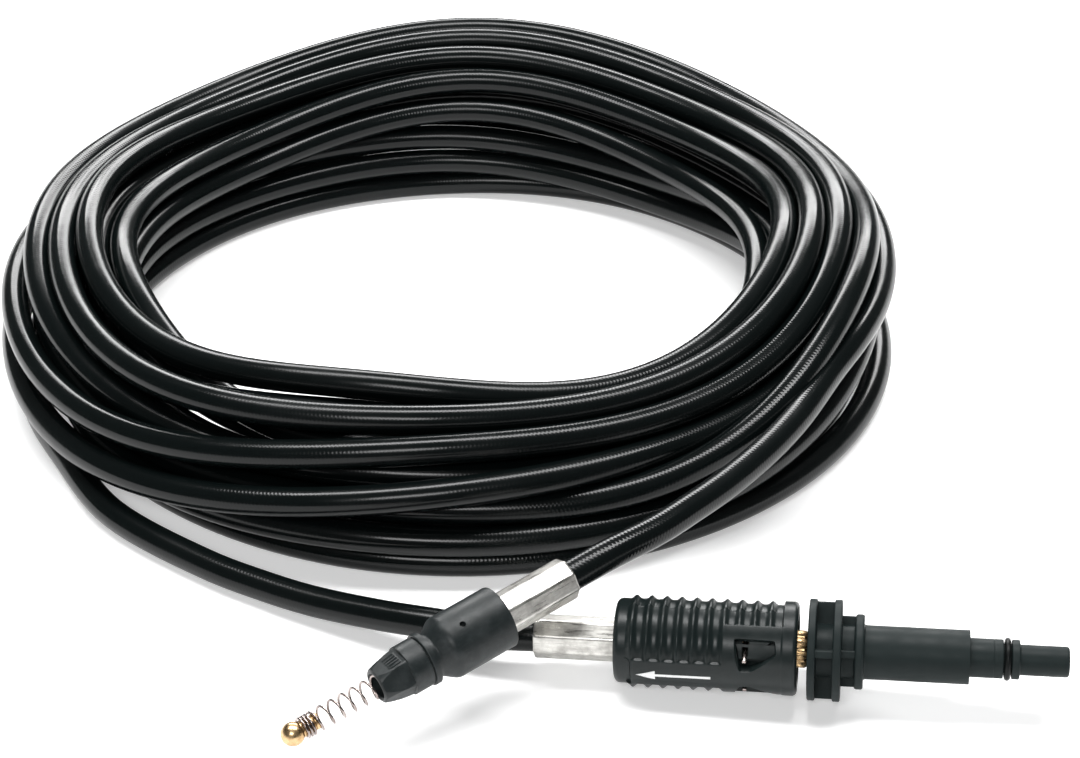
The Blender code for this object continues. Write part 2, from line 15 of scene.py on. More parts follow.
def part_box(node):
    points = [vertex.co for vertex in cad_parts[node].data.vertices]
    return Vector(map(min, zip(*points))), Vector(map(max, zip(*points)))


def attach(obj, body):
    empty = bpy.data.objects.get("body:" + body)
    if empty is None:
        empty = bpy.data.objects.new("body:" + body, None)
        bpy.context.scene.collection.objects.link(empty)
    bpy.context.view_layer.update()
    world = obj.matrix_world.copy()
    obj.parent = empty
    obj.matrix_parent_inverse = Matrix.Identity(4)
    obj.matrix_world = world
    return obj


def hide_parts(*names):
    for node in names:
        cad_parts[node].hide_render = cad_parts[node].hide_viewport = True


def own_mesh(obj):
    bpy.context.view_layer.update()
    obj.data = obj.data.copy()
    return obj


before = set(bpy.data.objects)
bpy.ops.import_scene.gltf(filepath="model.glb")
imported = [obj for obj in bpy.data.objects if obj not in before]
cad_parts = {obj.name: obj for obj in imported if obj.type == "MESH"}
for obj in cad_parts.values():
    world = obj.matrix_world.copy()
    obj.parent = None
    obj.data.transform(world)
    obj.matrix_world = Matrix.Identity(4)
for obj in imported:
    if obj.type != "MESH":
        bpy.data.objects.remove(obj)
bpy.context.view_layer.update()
low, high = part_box("hose_coil")
COIL_CENTRE = Vector(((low.x + high.x) / 2, (low.y + high.y) / 2, 0.0))

# Hose and tails, the same values as in part.py
HOSE_D = 0.010
HOSE_SIDES = 20
HOSE_STATION_STEP = 0.0055
GAP = 0.0003
AXIS_HOLE_R = 0.0005
COIL_OUTER_R = 0.153
TAIL_STAND_OFF = 0.0007
CONNECTOR_START = Vector((0.0389, -0.1989, 0.0))
CONNECTOR_HEADING = math.radians(-5.6)
CONNECTOR_PITCH = math.radians(2.4)
FLANGE_CLEARANCE = 0.0009
CLIP_TILT = math.radians(9.5)
FLANGE_D = 0.0310
BALL_CENTRE = Vector((-0.0296, -0.2547, 0.0178))
BALL_D = 0.0073
NOZZLE_HEADING = math.radians(36.8)
NOZZLE_PITCH = math.radians(9.0)
HOLDER_END = 0.0737
HOLDER_SOCKET_DEPTH = 0.0040
NOZZLE_FERRULE_LENGTH = 0.0291

# Coupling, also as in part.py
FERRULE_D = 0.0128
FERRULE_LENGTH = 0.0280
FERRULE_FLATS = 8
FERRULE_CORNER_R = FERRULE_D / 2 / math.cos(math.pi / FERRULE_FLATS)
SLEEVE_START = 0.0253
SLEEVE_LENGTH = 0.0559
SLEEVE_END_WALL = 0.0028
SLEEVE_BORE_D = 0.0210
SLEEVE_COLLAR_D = 0.0261
SLEEVE_COLLAR_LENGTH = 0.0039
SLEEVE_ROOT_D = 0.0262
SLEEVE_PANEL_D = 0.0284
SLEEVE_RIM_D = 0.0288
SLEEVE_RIM_LENGTH = 0.0048
RIM_ROUNDING = 0.0014
RIB_COUNT = 10
RIB_FIRST = 0.0057
RIB_PITCH = 0.004656
BAND_HALF_ANGLE = math.radians(20.6)
PANEL_HALF_ANGLE = math.radians(72.0)
PANEL_LENGTH = 0.0223
PARTING_ANGLE = math.radians(-100.0)
MOULD_SHIFT = 0.00018
ARROW_ANGLE = math.radians(-1.5)
CLIP_WIRE_D = 0.0015
CLIP_STATION = 0.0655
CLIP_LEG_OFFSET = 0.0062
CLIP_BEND_CENTRE = -0.0028
WINDOW = tuple((station, math.radians(angle)) for station, angle in (
    (-0.0031, 63.0), (0.0089, 62.0), (0.0093, 42.0), (0.0018, 16.0), (-0.0013, 16.0)))
BOSS = ((0.0010, 59.0), (0.0082, 57.5), (0.0016, 27.0))
CORE_INSET = 0.0026
PLUG_D = 0.0118
PLUG_DEPTH = 0.0215
PLUG_TEETH = 8
PLUG_TOOTH_DEPTH = 0.0008

# Adapter
ADAPTER_START = 0.0843
FLANGE_T = 0.0024
FLANGE_SPACE = 0.00525
DISC_D = 0.0229
DISC_T = 0.0027
DISC_SPACE = 0.0041
BARREL_D = 0.0165
BARREL_LENGTH = 0.0316
STEP_D = 0.0119
STEP_LENGTH = 0.0102
SEAL_OUTER_D = 0.0131
SEAL_SECTION_D = 0.0019
SEAL_COLLAR_D = 0.0120
SEAL_COLLAR_LENGTH = 0.0024
SPIGOT_D = 0.0093
SPIGOT_LENGTH = 0.0148
WATERWAY_D = 0.0050
WEB_T = 0.0022
WEB_INSET = 0.0007
WEB_TURN = math.radians(-41.5)
PANEL_ANGLE = math.radians(-42.5)
LABEL_CENTRE = 0.0238
LABEL_LENGTH = 0.0132
LABEL_WIDTH = 0.0068
LABEL_DEPTH = 0.00013

# Nozzle
STEM_D = 0.0052
STEM_LENGTH = 0.0087
SPRING_D = 0.0074
SPRING_WIRE_D = 0.0008
SPRING_PITCH = 0.0037
SPRING_WRAPS = 3
SPRING_WRAP_PITCH = 0.0011
SPRING_WRAP_START = 0.0031
NOSE_START = 0.0289
NOSE_FRONT_D = 0.0108
NOSE_BACK_D = 0.0152
NOSE_LENGTH = 0.0096
NOSE_FLATS = 6
RIDGE_ANGLE = math.radians(93.0)
RIDGE_STEP = math.radians(9.2)
RIDGE_HEIGHT = 0.00045
CAP_BODY_D = 0.0158
CAP_BODY_LENGTH = 0.0067
CAP_RING_D = 0.0168
CAP_RING_LENGTH = 0.0022
CAP_FLOOR = 0.0026
HOLDER_D = 0.0201
HOLDER_LENGTH = 0.0206
HOLDER_NECK_D = 0.0140
HOLDER_NECK_LENGTH = 0.0010
HOLDER_CONE_LENGTH = 0.0044
SIGHT_HOLE_D = 0.0018
SIGHT_HOLE_STATION = 0.0057
SIGHT_HOLE_TURN = math.radians(25.0)
SIGHT_HOLE_DEPTH = 0.0014

CONNECTOR_HEIGHT = FLANGE_D / 2 + FLANGE_CLEARANCE - ADAPTER_START * math.sin(CONNECTOR_PITCH)
CONNECTOR = (Matrix.Translation(COIL_CENTRE + CONNECTOR_START + Vector((0.0, 0.0, CONNECTOR_HEIGHT)))
             @ Matrix.Rotation(CONNECTOR_HEADING, 4, "Z") @ Matrix.Rotation(-CONNECTOR_PITCH, 4, "Y")
             @ Matrix.Rotation(math.pi + CLIP_TILT, 4, "X"))
NOZZLE = (Matrix.Translation(COIL_CENTRE + BALL_CENTRE)
          @ Matrix.Rotation(NOZZLE_HEADING, 4, "Z") @ Matrix.Rotation(-NOZZLE_PITCH, 4, "Y"))

# Linear base colours, and the colours of worn or stained patches
HOSE_BLACK = (0.0022, 0.0036, 0.0036)
SLEEVE_BLACK = (0.0065, 0.0105, 0.0105)
SLEEVE_WORN = (0.018, 0.025, 0.025)
# The inner body's two colours are painted lighter than the sleeve's, as painted light that makes up for the
# shade inside the windows
CORE_PAINTED_LIGHT = (0.022, 0.030, 0.030)
CORE_WORN_PAINTED_LIGHT = (0.034, 0.042, 0.042)
ADAPTER_BLACK = (0.0090, 0.0145, 0.0145)
NOZZLE_BLACK = (0.0085, 0.0120, 0.0125)
NOZZLE_WORN = (0.050, 0.058, 0.060)
SEAL_BLACK = (0.003, 0.004, 0.004)
PAINT_WHITE = (0.78, 0.79, 0.79)
PAINT_WORN = (0.25, 0.26, 0.26)
STEEL = (0.60, 0.59, 0.56)
STEEL_STAINED = (0.36, 0.35, 0.33)
WIRE_STEEL = (0.40, 0.35, 0.33)
WIRE_STAINED = (0.20, 0.16, 0.15)
BRASS = (0.64, 0.45, 0.25)
BRASS_STAINED = (0.42, 0.27, 0.13)

# Camera, from the coil's centre: angles in radians, lens and sensor in millimetres
CAMERA_PLACE = Vector((0.0640, -0.8218, 0.4935))
CAMERA_PITCH = 0.5555
CAMERA_YAW = -0.0380
CAMERA_LENS = 84.14
CAMERA_SENSOR = 36.0
LIGHT_AIM = Vector((0.0, 0.0, 0.03))

# The coil is wound clockwise, seen from above, from the coupling's tail to the nozzle's
FIRST_ANGLE = math.radians(-160.0)
LAST_ANGLE = math.radians(-25.0)
STATIONS_PER_TURN = 72
FIRST_PLACE = (158.7, 5.0)
LAST_PLACE = (158.7, 42.0)

# How the turns settle: their spacing in millimetres, and the strength and width of each move
TURN_SPACING = 1000 * HOSE_D + 0.15
SETTLE_STEPS = 1200
SINK_PER_STEP = 0.013
SINK_UNTIL = 0.2
STIFFNESS = 0.05
PUSH, PUSH_WIDTH = 1.6, 2.2
HOLD, HOLD_WIDTH = 0.10, 3.0

# Where the hose's centre lies at the coil's left, back, right and front, turn after turn, as
# (radius, height) in millimetres. settle() then makes the turns lie beside and on each other.
TURNS = (
    ((155, 6), (151, 8), (160, 7), (150, 5)),
    ((142, 7), (140, 8), (149, 11), (140, 9)),
    ((130, 6), (120, 5), (137, 12), (130, 8)),
    ((128, 17), (120, 16), (126, 25), (121, 22)),
    ((132, 33), (120, 28), (124, 38), (131, 30)),
    ((122, 35), (120, 42), (114, 40), (121, 33)),
    ((132, 46), (134, 48), (129, 49), (131, 40)),
    ((122, 48), (123, 54), (123, 57), (121, 54)),
    ((133, 58), (132, 60), (133, 61), (131, 51)),
    ((143, 54), (145, 62), (143, 60), (141, 46)),
    ((162, 35), (158, 39), (149, 46), (151, 34)),
    ((163, 20), (156, 25), (155, 33), (152, 17)),
    ((140, 18), (141, 27), (140, 27), (135, 19)),
    ((142, 30), (143, 39), (134, 40), (121, 44)),
    ((142, 42), (149, 51), (139, 50), (141, 36)),
    ((153, 50), (156, 62), (152, 55), (146, 26)),
    ((152, 39), (160, 51), (158, 46)),
)


def blur(values, width):
    """Smooths rows of values along their first axis with a bell curve, width rows wide."""
    reach = int(3 * width)
    bell = np.exp(-0.5 * (np.arange(-reach, reach + 1) / width) ** 2)
    bell /= bell.sum()
    padded = np.pad(values, ((reach, reach), (0, 0)), mode="edge")
    return np.stack([np.convolve(column, bell, "valid") for column in padded.T], 1)


def hermite(t, p, slope, wanted):
    """The cubic curve through the points p at the parameters t, read at the wanted parameters."""
    at = np.clip(np.searchsorted(t, wanted, side="right") - 1, 0, len(t) - 2)
    span = (t[at + 1] - t[at])[:, None]
    s = (wanted - t[at])[:, None] / span
    return ((2 * s ** 3 - 3 * s ** 2 + 1) * p[at] + (s ** 3 - 2 * s ** 2 + s) * span * slope[at]
            + (3 * s ** 2 - 2 * s ** 3) * p[at + 1] + (s ** 3 - s ** 2) * span * slope[at + 1])


def through(marks, places, wanted):
    """A smooth curve through places at the parameters marks, read at the wanted parameters."""
    t = np.asarray(marks, float)
    p = np.asarray(places, float)
    slope = np.zeros_like(p)
    slope[1:-1] = (p[2:] - p[:-2]) / (t[2:] - t[:-2])[:, None]
    return hermite(t, p, slope, wanted)


def apart(x, distance):
    """How far to push each point so that the turns at one station are a hose apart."""
    push = np.zeros_like(x)
    touches = np.ones((len(x), 1))
    for turns_on in range(1, len(TURNS) + 1):
        count = len(x) - turns_on * STATIONS_PER_TURN
        if count <= 0:
            break
        between = x[-count:] - x[:count]
        near = np.hypot(*between.T)
        close = near < distance
        way = blur(between, 3.0)
        way /= np.hypot(*way.T)[:, None] + 1e-9
        move = np.where(close, (distance - near) / 2, 0.0)[:, None] * way
        push[-count:] += move
        push[:count] -= move
        touches[-count:] += close[:, None]
        touches[:count] += close[:, None]
    return push / np.maximum(1.0, 0.6 * (touches - 1))


def settle():
    """The turns' places, (radius, height) in millimetres, pushed apart and down until they lie still."""
    quarter = math.pi / 2
    first_left = FIRST_ANGLE + math.pi
    marks = [0.0] + [first_left + quarter * k for k in range(sum(len(turn) for turn in TURNS))]
    places = [FIRST_PLACE] + [place for turn in TURNS for place in turn]
    end = marks[-1] - LAST_ANGLE
    marks.append(end)
    places.append(LAST_PLACE)
    step_angle = math.tau / STATIONS_PER_TURN
    stations = np.arange(round(end / step_angle) + 1) * step_angle
    x = through(marks, places, stations)
    wanted = x.copy()
    held = np.zeros((len(x), 1))
    held[[round(mark / step_angle) for mark in marks[1:-1]]] = 1.0
    for step in range(SETTLE_STEPS):
        left = 1.0 - step / SETTLE_STEPS
        x += PUSH * blur(apart(x, TURN_SPACING), PUSH_WIDTH)
        x += blur((wanted - x) * held * HOLD * left, HOLD_WIDTH)
        x[:, 1] -= SINK_PER_STEP if left > SINK_UNTIL else 0.0
        x[2:-2] -= STIFFNESS * (x[:-4] - 4 * x[1:-3] + 6 * x[2:-2] - 4 * x[3:-1] + x[4:])
        x[:, 1] = np.maximum(x[:, 1], 500 * HOSE_D)
        x[:2] = FIRST_PLACE
        x[-2:] = LAST_PLACE
    return FIRST_ANGLE - stations, x


def beside_coil(degrees, height):
    """A point where a tail lies against the coil's outer side."""
    radius = COIL_OUTER_R + TAIL_STAND_OFF + HOSE_D / 2
    angle = math.radians(degrees)
    return Vector((radius * math.cos(angle), radius * math.sin(angle), height))


def straight_exit(at, station, direction):
    """The hose's last points, in line with its ferrule and up to the ferrule's face."""
    return [at @ Vector((station + direction * (GAP + step), 0.0, 0.0)) - COIL_CENTRE
            for step in (0.0, 1.5 * HOSE_D)]


def connector_route():
    """From the coil's left side along the floor to the connector's ferrule."""
    on_floor = HOSE_D / 2
    start, last = straight_exit(CONNECTOR, 0.0, -1.0)
    return [beside_coil(-153.0, on_floor), Vector((-0.1303, -0.0914, on_floor)),
            Vector((-0.1075, -0.1262, on_floor)), Vector((-0.0707, -0.1548, on_floor)),
            Vector((-0.0525, -0.1654, on_floor + 0.0004)), Vector((-0.0343, -0.1749, on_floor + 0.0014)),
            Vector((-0.0107, -0.1854, on_floor + 0.0041)), Vector((0.0093, -0.1931, on_floor + 0.0067)),
            last, start]


def nozzle_route():
    """From the coil's right side, round its front, to the nozzle's ferrule."""
    face = HOLDER_END - HOLDER_SOCKET_DEPTH + GAP + NOZZLE_FERRULE_LENGTH
    start, last = straight_exit(NOZZLE, face, 1.0)
    return [beside_coil(-31.0, 0.0402), Vector((0.1239, -0.1075, 0.0380)), Vector((0.1153, -0.1227, 0.0370)),
            Vector((0.1067, -0.1359, 0.0365)), Vector((0.0963, -0.1500, 0.0362)),
            Vector((0.0862, -0.1622, 0.0362)), Vector((0.0764, -0.1733, 0.0361)), last, start]


def even(points, spacing):
    """Points on a centripetal curve through the given ones, about spacing apart."""
    p = np.asarray([tuple(q) for q in points], float)
    steps = np.linalg.norm(np.diff(p, axis=0), axis=1)
    t = np.concatenate([[0.0], np.cumsum(np.sqrt(steps))])
    ghost = np.vstack([2 * p[0] - p[1], p, 2 * p[-1] - p[-2]])
    ghost_t = np.concatenate([[-t[1]], t, [2 * t[-1] - t[-2]]])
    pace = (ghost[1:] - ghost[:-1]) / (ghost_t[1:] - ghost_t[:-1])[:, None]
    slope = pace[1:] + pace[:-1] - (ghost[2:] - ghost[:-2]) / (ghost_t[2:] - ghost_t[:-2])[:, None]
    curve = hermite(t, p, slope, np.linspace(0.0, t[-1], 40 * len(p)))
    run = np.concatenate([[0.0], np.cumsum(np.linalg.norm(np.diff(curve, axis=0), axis=1))])
    count = max(2, round(run[-1] / spacing) + 1)
    wanted = np.linspace(0.0, run[-1], count)
    return np.stack([np.interp(wanted, run, curve[:, c]) for c in range(3)], 1)


def hose_path():
    """The whole hose, from the coupling's ferrule through all the turns to the nozzle's."""
    angles, places = settle()
    turns = [Vector((r / 1000 * math.cos(a), r / 1000 * math.sin(a), z / 1000))
             for a, (r, z) in zip(angles, places)]
    route = list(reversed(connector_route())) + turns + nozzle_route()
    return [COIL_CENTRE + Vector(p) for p in even(route, HOSE_STATION_STEP)]


def circle(station, radius, angles):
    """Points around the X axis; radius is a number or a function of the angle."""
    points = []
    for angle in angles:
        r = radius(angle) if callable(radius) else radius
        points.append((station, r * math.cos(angle), r * math.sin(angle)))
    return points


def around(count):
    return [math.tau * k / count for k in range(count)]


def finish_mesh(mesh, sharp=35.0):
    """Outward normals, and smooth shading except at sharp edges."""
    bm = bmesh.new()
    bm.from_mesh(mesh)
    bmesh.ops.recalc_face_normals(bm, faces=bm.faces)
    bm.to_mesh(mesh)
    bm.free()
    mesh.shade_smooth()
    mesh.set_sharp_from_angle(angle=math.radians(sharp))


def skin(name, loops, closed=False):
    """A mesh over equal loops of points: closed back on itself, or capped flat at both ends."""
    count = len(loops[0])
    points = [tuple(point) for loop in loops for point in loop]
    faces = []
    rows = len(loops) if closed else len(loops) - 1
    for row in range(rows):
        low = row * count
        high = (row + 1) % len(loops) * count
        for k in range(count):
            n = (k + 1) % count
            faces.append((low + k, low + n, high + n, high + k))
    if not closed:
        faces.append(tuple(reversed(range(count))))
        faces.append(tuple(range(len(points) - count, len(points))))
    mesh = bpy.data.meshes.new(name)
    mesh.from_pydata(points, [], faces)
    finish_mesh(mesh)
    return mesh


def rounded(corners, steps=4):
    """An outline through (station, radius, rounding) corners, with each corner rounded off."""
    outline = []
    for k, (station, radius, rounding) in enumerate(corners):
        here = Vector((station, radius))
        if not rounding:
            outline.append(tuple(here))
            continue
        ends = []
        for other in (corners[k - 1], corners[(k + 1) % len(corners)]):
            way = Vector(other[:2]) - here
            ends.append(here + way.normalized() * min(rounding, 0.48 * way.length))
        for step in range(steps + 1):
            t = step / steps
            outline.append(tuple((1 - t) ** 2 * ends[0] + 2 * t * (1 - t) * here + t * t * ends[1]))
    return outline


def turned(name, outline, count=96):
    """A ring turned about the X axis from a closed outline of (station, radius)."""
    angles = around(count)
    return skin(name, [circle(station, radius, angles) for station, radius in outline], closed=True)


def add_object(name, data):
    """A new object in the scene."""
    obj = bpy.data.objects.new(name, data)
    bpy.context.scene.collection.objects.link(obj)
    return obj


def piece(name, mesh, at, body, slot, material, *replaced):
    """Makes a piece of the object that moves with a body and stands for CAD nodes."""
    obj = add_object(name, mesh)
    obj.matrix_world = at
    mesh.materials.clear()
    mesh.materials.append(material)
    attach(obj, body)
    if replaced:
        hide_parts(*replaced)
    return obj


def carve(mesh, tools, operation="DIFFERENCE", sharp=35.0):
    """The mesh with the tools' shapes taken out of it or joined to it."""
    target = add_object("target", mesh)
    made = [target]
    for tool in tools:
        helper = add_object("tool", tool)
        made.append(helper)
        boolean = target.modifiers.new("carve", "BOOLEAN")
        boolean.operation = operation
        boolean.solver = "MANIFOLD"
        boolean.object = helper
    graph = bpy.context.evaluated_depsgraph_get()
    result = bpy.data.meshes.new_from_object(target.evaluated_get(graph))
    result.name = mesh.name
    for helper in made:
        bpy.data.objects.remove(helper)
    finish_mesh(result, sharp)
    return result


def patch_outline(corners, rounding, steps=5):
    """A rounded outline through (station, arc length) corners."""
    return rounded([(station, arc, rounding) for station, arc in corners], steps)


def patch(name, outline, radii, grow=None):
    """A block on a round surface, over an outline of (station, arc length at the last radius).

    radii are the depths of its loops, and grow says how much wider the outline is at each.
    """
    reach = radii[-1]
    middle = Vector((0.0, 0.0))
    for point in outline:
        middle += Vector(point) / len(outline)
    loops = []
    for radius, wider in zip(radii, grow or [0.0] * len(radii)):
        loop = []
        for point in outline:
            way = Vector(point) - middle
            station, arc = middle + way * (1 + wider / way.length)
            angle = arc / reach
            loop.append((station, radius * math.cos(angle), radius * math.sin(angle)))
        loops.append(loop)
    return skin(name, loops)


def smoothstep(low, high, value):
    t = np.clip((value - low) / (high - low), 0.0, 1.0)
    return t * t * (3 - 2 * t)


def tube_rings(path, radii, sides):
    """Rings of points round a path that don't twist, and how far along the path each one is."""
    p = np.asarray([tuple(q) for q in path], float)
    along = np.gradient(p, axis=0)
    along /= np.linalg.norm(along, axis=1)[:, None]
    normal = np.cross(along[0], np.roll(np.abs(along[0]), 1) + np.array([0.1, 0.2, 0.3]))
    normals = []
    for direction in along:
        normal = normal - direction * (normal @ direction)
        normal = normal / np.linalg.norm(normal)
        normals.append(normal)
    normals = np.asarray(normals)
    sideways = np.cross(along, normals)
    turn = np.arange(sides) * math.tau / sides
    out = (np.cos(turn)[None, :, None] * normals[:, None, :]
           + np.sin(turn)[None, :, None] * sideways[:, None, :])
    rings = p[:, None, :] + np.broadcast_to(radii, len(p))[:, None, None] * out
    run = np.concatenate([[0.0], np.cumsum(np.linalg.norm(np.diff(p, axis=0), axis=1))])
    return rings, run


def tube_mesh(name, path, radius, sides):
    """A tube with flat ends along a path. Its UV map runs along the length in metres and once round."""
    rings, run = tube_rings(path, radius, sides)
    mesh = skin(name, rings.tolist())
    vertices = np.empty(len(mesh.loops), np.int32)
    mesh.loops.foreach_get("vertex_index", vertices)
    ring, side = vertices // sides, vertices % sides
    quads = side[:-2 * sides].reshape(-1, 4)
    quads[(quads == 0) & (quads.max(1) == sides - 1)[:, None]] = sides
    uvs = np.stack([run[ring], side / sides], 1)
    layer = mesh.uv_layers.new(name="along")
    layer.data.foreach_set("uv", uvs.astype(np.float32).ravel())
    return add_object(name, mesh)


def ferrule_mesh(name, start, length):
    """A crimped tube with flats whose edges are slightly rounded."""
    step = math.tau / FERRULE_FLATS
    land = FERRULE_CORNER_R - 0.00011
    bore = HOSE_D / 2 + 0.0001

    def flats(shrink):
        return lambda angle: min(land, FERRULE_D / 2 / math.cos(angle % step - step / 2)) - shrink

    angles = around(FERRULE_FLATS * 16)
    depths = ((0.0, 0.0007), (0.00012, 0.0003), (0.0004, 0.0001), (0.0009, 0.0))
    loops = [circle(start, bore, angles)]
    loops += [circle(start + along, flats(shrink), angles) for along, shrink in depths]
    loops += [circle(start + length - along, flats(shrink), angles) for along, shrink in reversed(depths)]
    loops.append(circle(start + length, bore, angles))
    return skin(name, loops, closed=True)


def sleeve_radius(station, angle):
    """Outer radius of the pull sleeve: ribs with a plain band and a plain panel on one side."""
    crest, root, rim = SLEEVE_PANEL_D / 2, SLEEVE_ROOT_D / 2, SLEEVE_RIM_D / 2
    collar = SLEEVE_COLLAR_D / 2
    side = np.abs(angle)
    beyond = (angle < PARTING_ANGLE) | (angle > PARTING_ANGLE + math.pi)
    phase = (station - RIB_FIRST - np.where(beyond, MOULD_SHIFT, 0.0)) / RIB_PITCH
    off = np.abs(phase - np.round(phase))
    inside = (phase > -0.5) & (phase < RIB_COUNT - 0.5)
    rib = np.where(inside, (0.5 + 0.5 * np.cos(math.tau * off)) ** 2.0, 0.0)
    panel = smoothstep(-0.0003, 0.0003, station - (SLEEVE_LENGTH - PANEL_LENGTH))
    edge = BAND_HALF_ANGLE + (PANEL_HALF_ANGLE - BAND_HALF_ANGLE) * panel
    into = smoothstep(0.0, 0.0009, (side - edge) * crest)
    radius = crest - (crest - root) * (1 - rib) * into
    for seam in (PARTING_ANGLE, PARTING_ANGLE + math.pi):
        radius = radius + 0.00010 * np.exp(-((angle - seam) * crest / 0.00016) ** 2)
    shoulder = 0.0018
    left = np.clip(shoulder - station, 0.0, shoulder)
    collar_radius = collar - shoulder + np.sqrt(shoulder ** 2 - left ** 2)
    ribbed = smoothstep(0.0, 0.0005, (side - edge) * crest)
    collar_end = RIB_FIRST - 0.0004 + (SLEEVE_COLLAR_LENGTH - RIB_FIRST + 0.0004) * ribbed
    at_collar = 1.0 - smoothstep(0.0, 0.0004, station - collar_end)
    rim_start = SLEEVE_LENGTH - SLEEVE_RIM_LENGTH
    at_rim = smoothstep(rim_start, rim_start + 0.0005, station)
    right = np.clip(station - (SLEEVE_LENGTH - RIM_ROUNDING), 0.0, RIM_ROUNDING)
    rim_radius = rim - RIM_ROUNDING + np.sqrt(RIM_ROUNDING ** 2 - right ** 2)
    radius = radius * (1 - at_collar) + collar_radius * at_collar
    return radius * (1 - at_rim) + rim_radius * at_rim


def sleeve_mesh():
    """The pull sleeve: its ribbed outside, its bore with the end wall, and its two windows."""
    seams = (PARTING_ANGLE, PARTING_ANGLE + math.pi)
    angles = [math.tau * k / 240 - math.pi for k in range(240)]
    for seam in seams:
        angles += [seam + math.radians(offset) for offset in (-0.9, -0.45, 0.0, 0.45, 0.9)]
    for edge in (BAND_HALF_ANGLE, PANEL_HALF_ANGLE):
        angles += [side * (edge + step / SLEEVE_PANEL_D * 2) for side in (-1, 1)
                   for step in np.linspace(-0.0001, 0.0012, 14)]
    angles = np.array(sorted(set(round(angle, 4) for angle in angles)))
    fine = 0.00025
    stations = np.linspace(0.0, SLEEVE_LENGTH, round(SLEEVE_LENGTH / fine) + 1)
    ends = np.array([0.00008, 0.00018])
    stations = np.sort(np.concatenate([stations, ends, SLEEVE_LENGTH - ends]))
    loops = []
    for station in stations:
        radius = sleeve_radius(station, angles)
        loops.append(np.stack([np.full_like(angles, SLEEVE_START + station), radius * np.cos(angles),
                               radius * np.sin(angles)], 1).tolist())
    bore = SLEEVE_BORE_D / 2
    entry = FERRULE_CORNER_R + GAP
    wall = SLEEVE_START + SLEEVE_END_WALL
    end = SLEEVE_START + SLEEVE_LENGTH
    bevel = 0.0004
    for station, radius in ((end, bore + bevel), (end - bevel, bore), (wall, bore), (wall, entry),
                            (SLEEVE_START + bevel, entry), (SLEEVE_START, entry + bevel)):
        loops.append(circle(station, radius, angles))
    sleeve = skin("pull_sleeve", loops, closed=True)
    surface = SLEEVE_PANEL_D / 2
    tools = []
    for sign in (-1, 1):
        corners = [(CLIP_STATION + station, sign * angle * surface) for station, angle in WINDOW]
        outline = patch_outline(corners, 0.0008)
        radii = (surface - 0.006, surface - 0.0004, surface, surface + 0.002)
        tools.append(patch("window", outline, radii, (0.0, 0.0, 0.0003, 0.0020)))
    return carve(sleeve, tools)


def arrow_mesh():
    """The painted arrow on the sleeve's band, a thin raised skin that points to the hose."""
    surface = SLEEVE_PANEL_D / 2
    paint = 0.00006
    tip, neck, tail = (SLEEVE_START + station for station in (0.0074, 0.0132, 0.0301))
    head, shaft = 0.0020, 0.00055
    middle = ARROW_ANGLE * surface
    corners = ((tip, 0.0), (neck, head), (neck, shaft), (tail, shaft),
               (tail, -shaft), (neck, -shaft), (neck, -head))
    outline = [(station, middle + arc) for station, arc in corners]
    skin_low, skin_high = surface - 0.0003, surface + paint
    band = turned("sleeve_arrow", [(tip - head, skin_low), (tip - head, skin_high),
                                   (tail + head, skin_high), (tail + head, skin_low)], 240)
    prism = patch("arrow", outline, (surface - 0.002, surface + 0.002))
    return carve(band, [prism], "INTERSECT")


def core_mesh():
    """Inner body of the coupling with its bore, the slot for the clip and pockets beside it."""
    start = SLEEVE_START + SLEEVE_END_WALL + GAP
    end = SLEEVE_START + SLEEVE_LENGTH - CORE_INSET
    outer = SLEEVE_BORE_D / 2 - GAP
    bore = PLUG_D / 2 + GAP
    floor = ADAPTER_START - GAP - PLUG_DEPTH - GAP
    outline = rounded([(start, AXIS_HOLE_R, 0.0), (start, outer, 0.0004), (end, outer, 0.0007),
                       (end, bore, 0.0004), (floor, bore, 0.0), (floor, AXIS_HOLE_R, 0.0)])
    core = turned("coupling_core", outline)
    half = CLIP_WIRE_D / 2 + GAP
    inner, reach = CLIP_LEG_OFFSET - half, CLIP_LEG_OFFSET + half
    bend = CLIP_BEND_CENTRE + half
    outside = 0.03
    tools = []
    for y_1, y_2, z_1, z_2 in ((-outside, bend, -reach, reach), (bend - GAP, outside, inner, reach),
                               (bend - GAP, outside, -reach, -inner)):
        section = ((y_1, z_1), (y_2, z_1), (y_2, z_2), (y_1, z_2))
        tools.append(skin("slot", [[(CLIP_STATION + x, y, z) for y, z in section] for x in (-half, half)]))
    bosses = []
    depth = 0.0030
    margin = 0.0007
    soft = 0.0002
    for sign in (-1, 1):
        low, high = (sign * outer * math.radians(angle) for angle in (11.0, 71.0))
        left, right = CLIP_STATION + WINDOW[0][0] - margin, CLIP_STATION + WINDOW[2][0] + margin
        tools.append(patch("pocket", [(left, low), (right, low), (right, high), (left, high)],
                           (outer - depth, outer + 0.001)))
        corners = [(CLIP_STATION + station, sign * outer * math.radians(angle)) for station, angle in BOSS]
        bosses.append(patch("boss", patch_outline(corners, 0.0004),
                            (outer - depth - GAP, outer - soft, outer), (0.0, 0.0, -soft)))
    return carve(carve(core, tools), bosses, "UNION")


def wire_mesh(name, route, radius, sides=14):
    """A bent wire with rounded ends."""
    first = [route[0] + (route[0] - route[1]).normalized() * out for out in (0.72 * radius, 0.45 * radius)]
    last = [route[-1] + (route[-1] - route[-2]).normalized() * out for out in (0.45 * radius, 0.72 * radius)]
    path = first + list(route) + last
    radii = [0.45 * radius, 0.85 * radius] + [radius] * len(route) + [0.85 * radius, 0.45 * radius]
    rings, _ = tube_rings(path, radii, sides)
    return skin(name, rings.tolist())


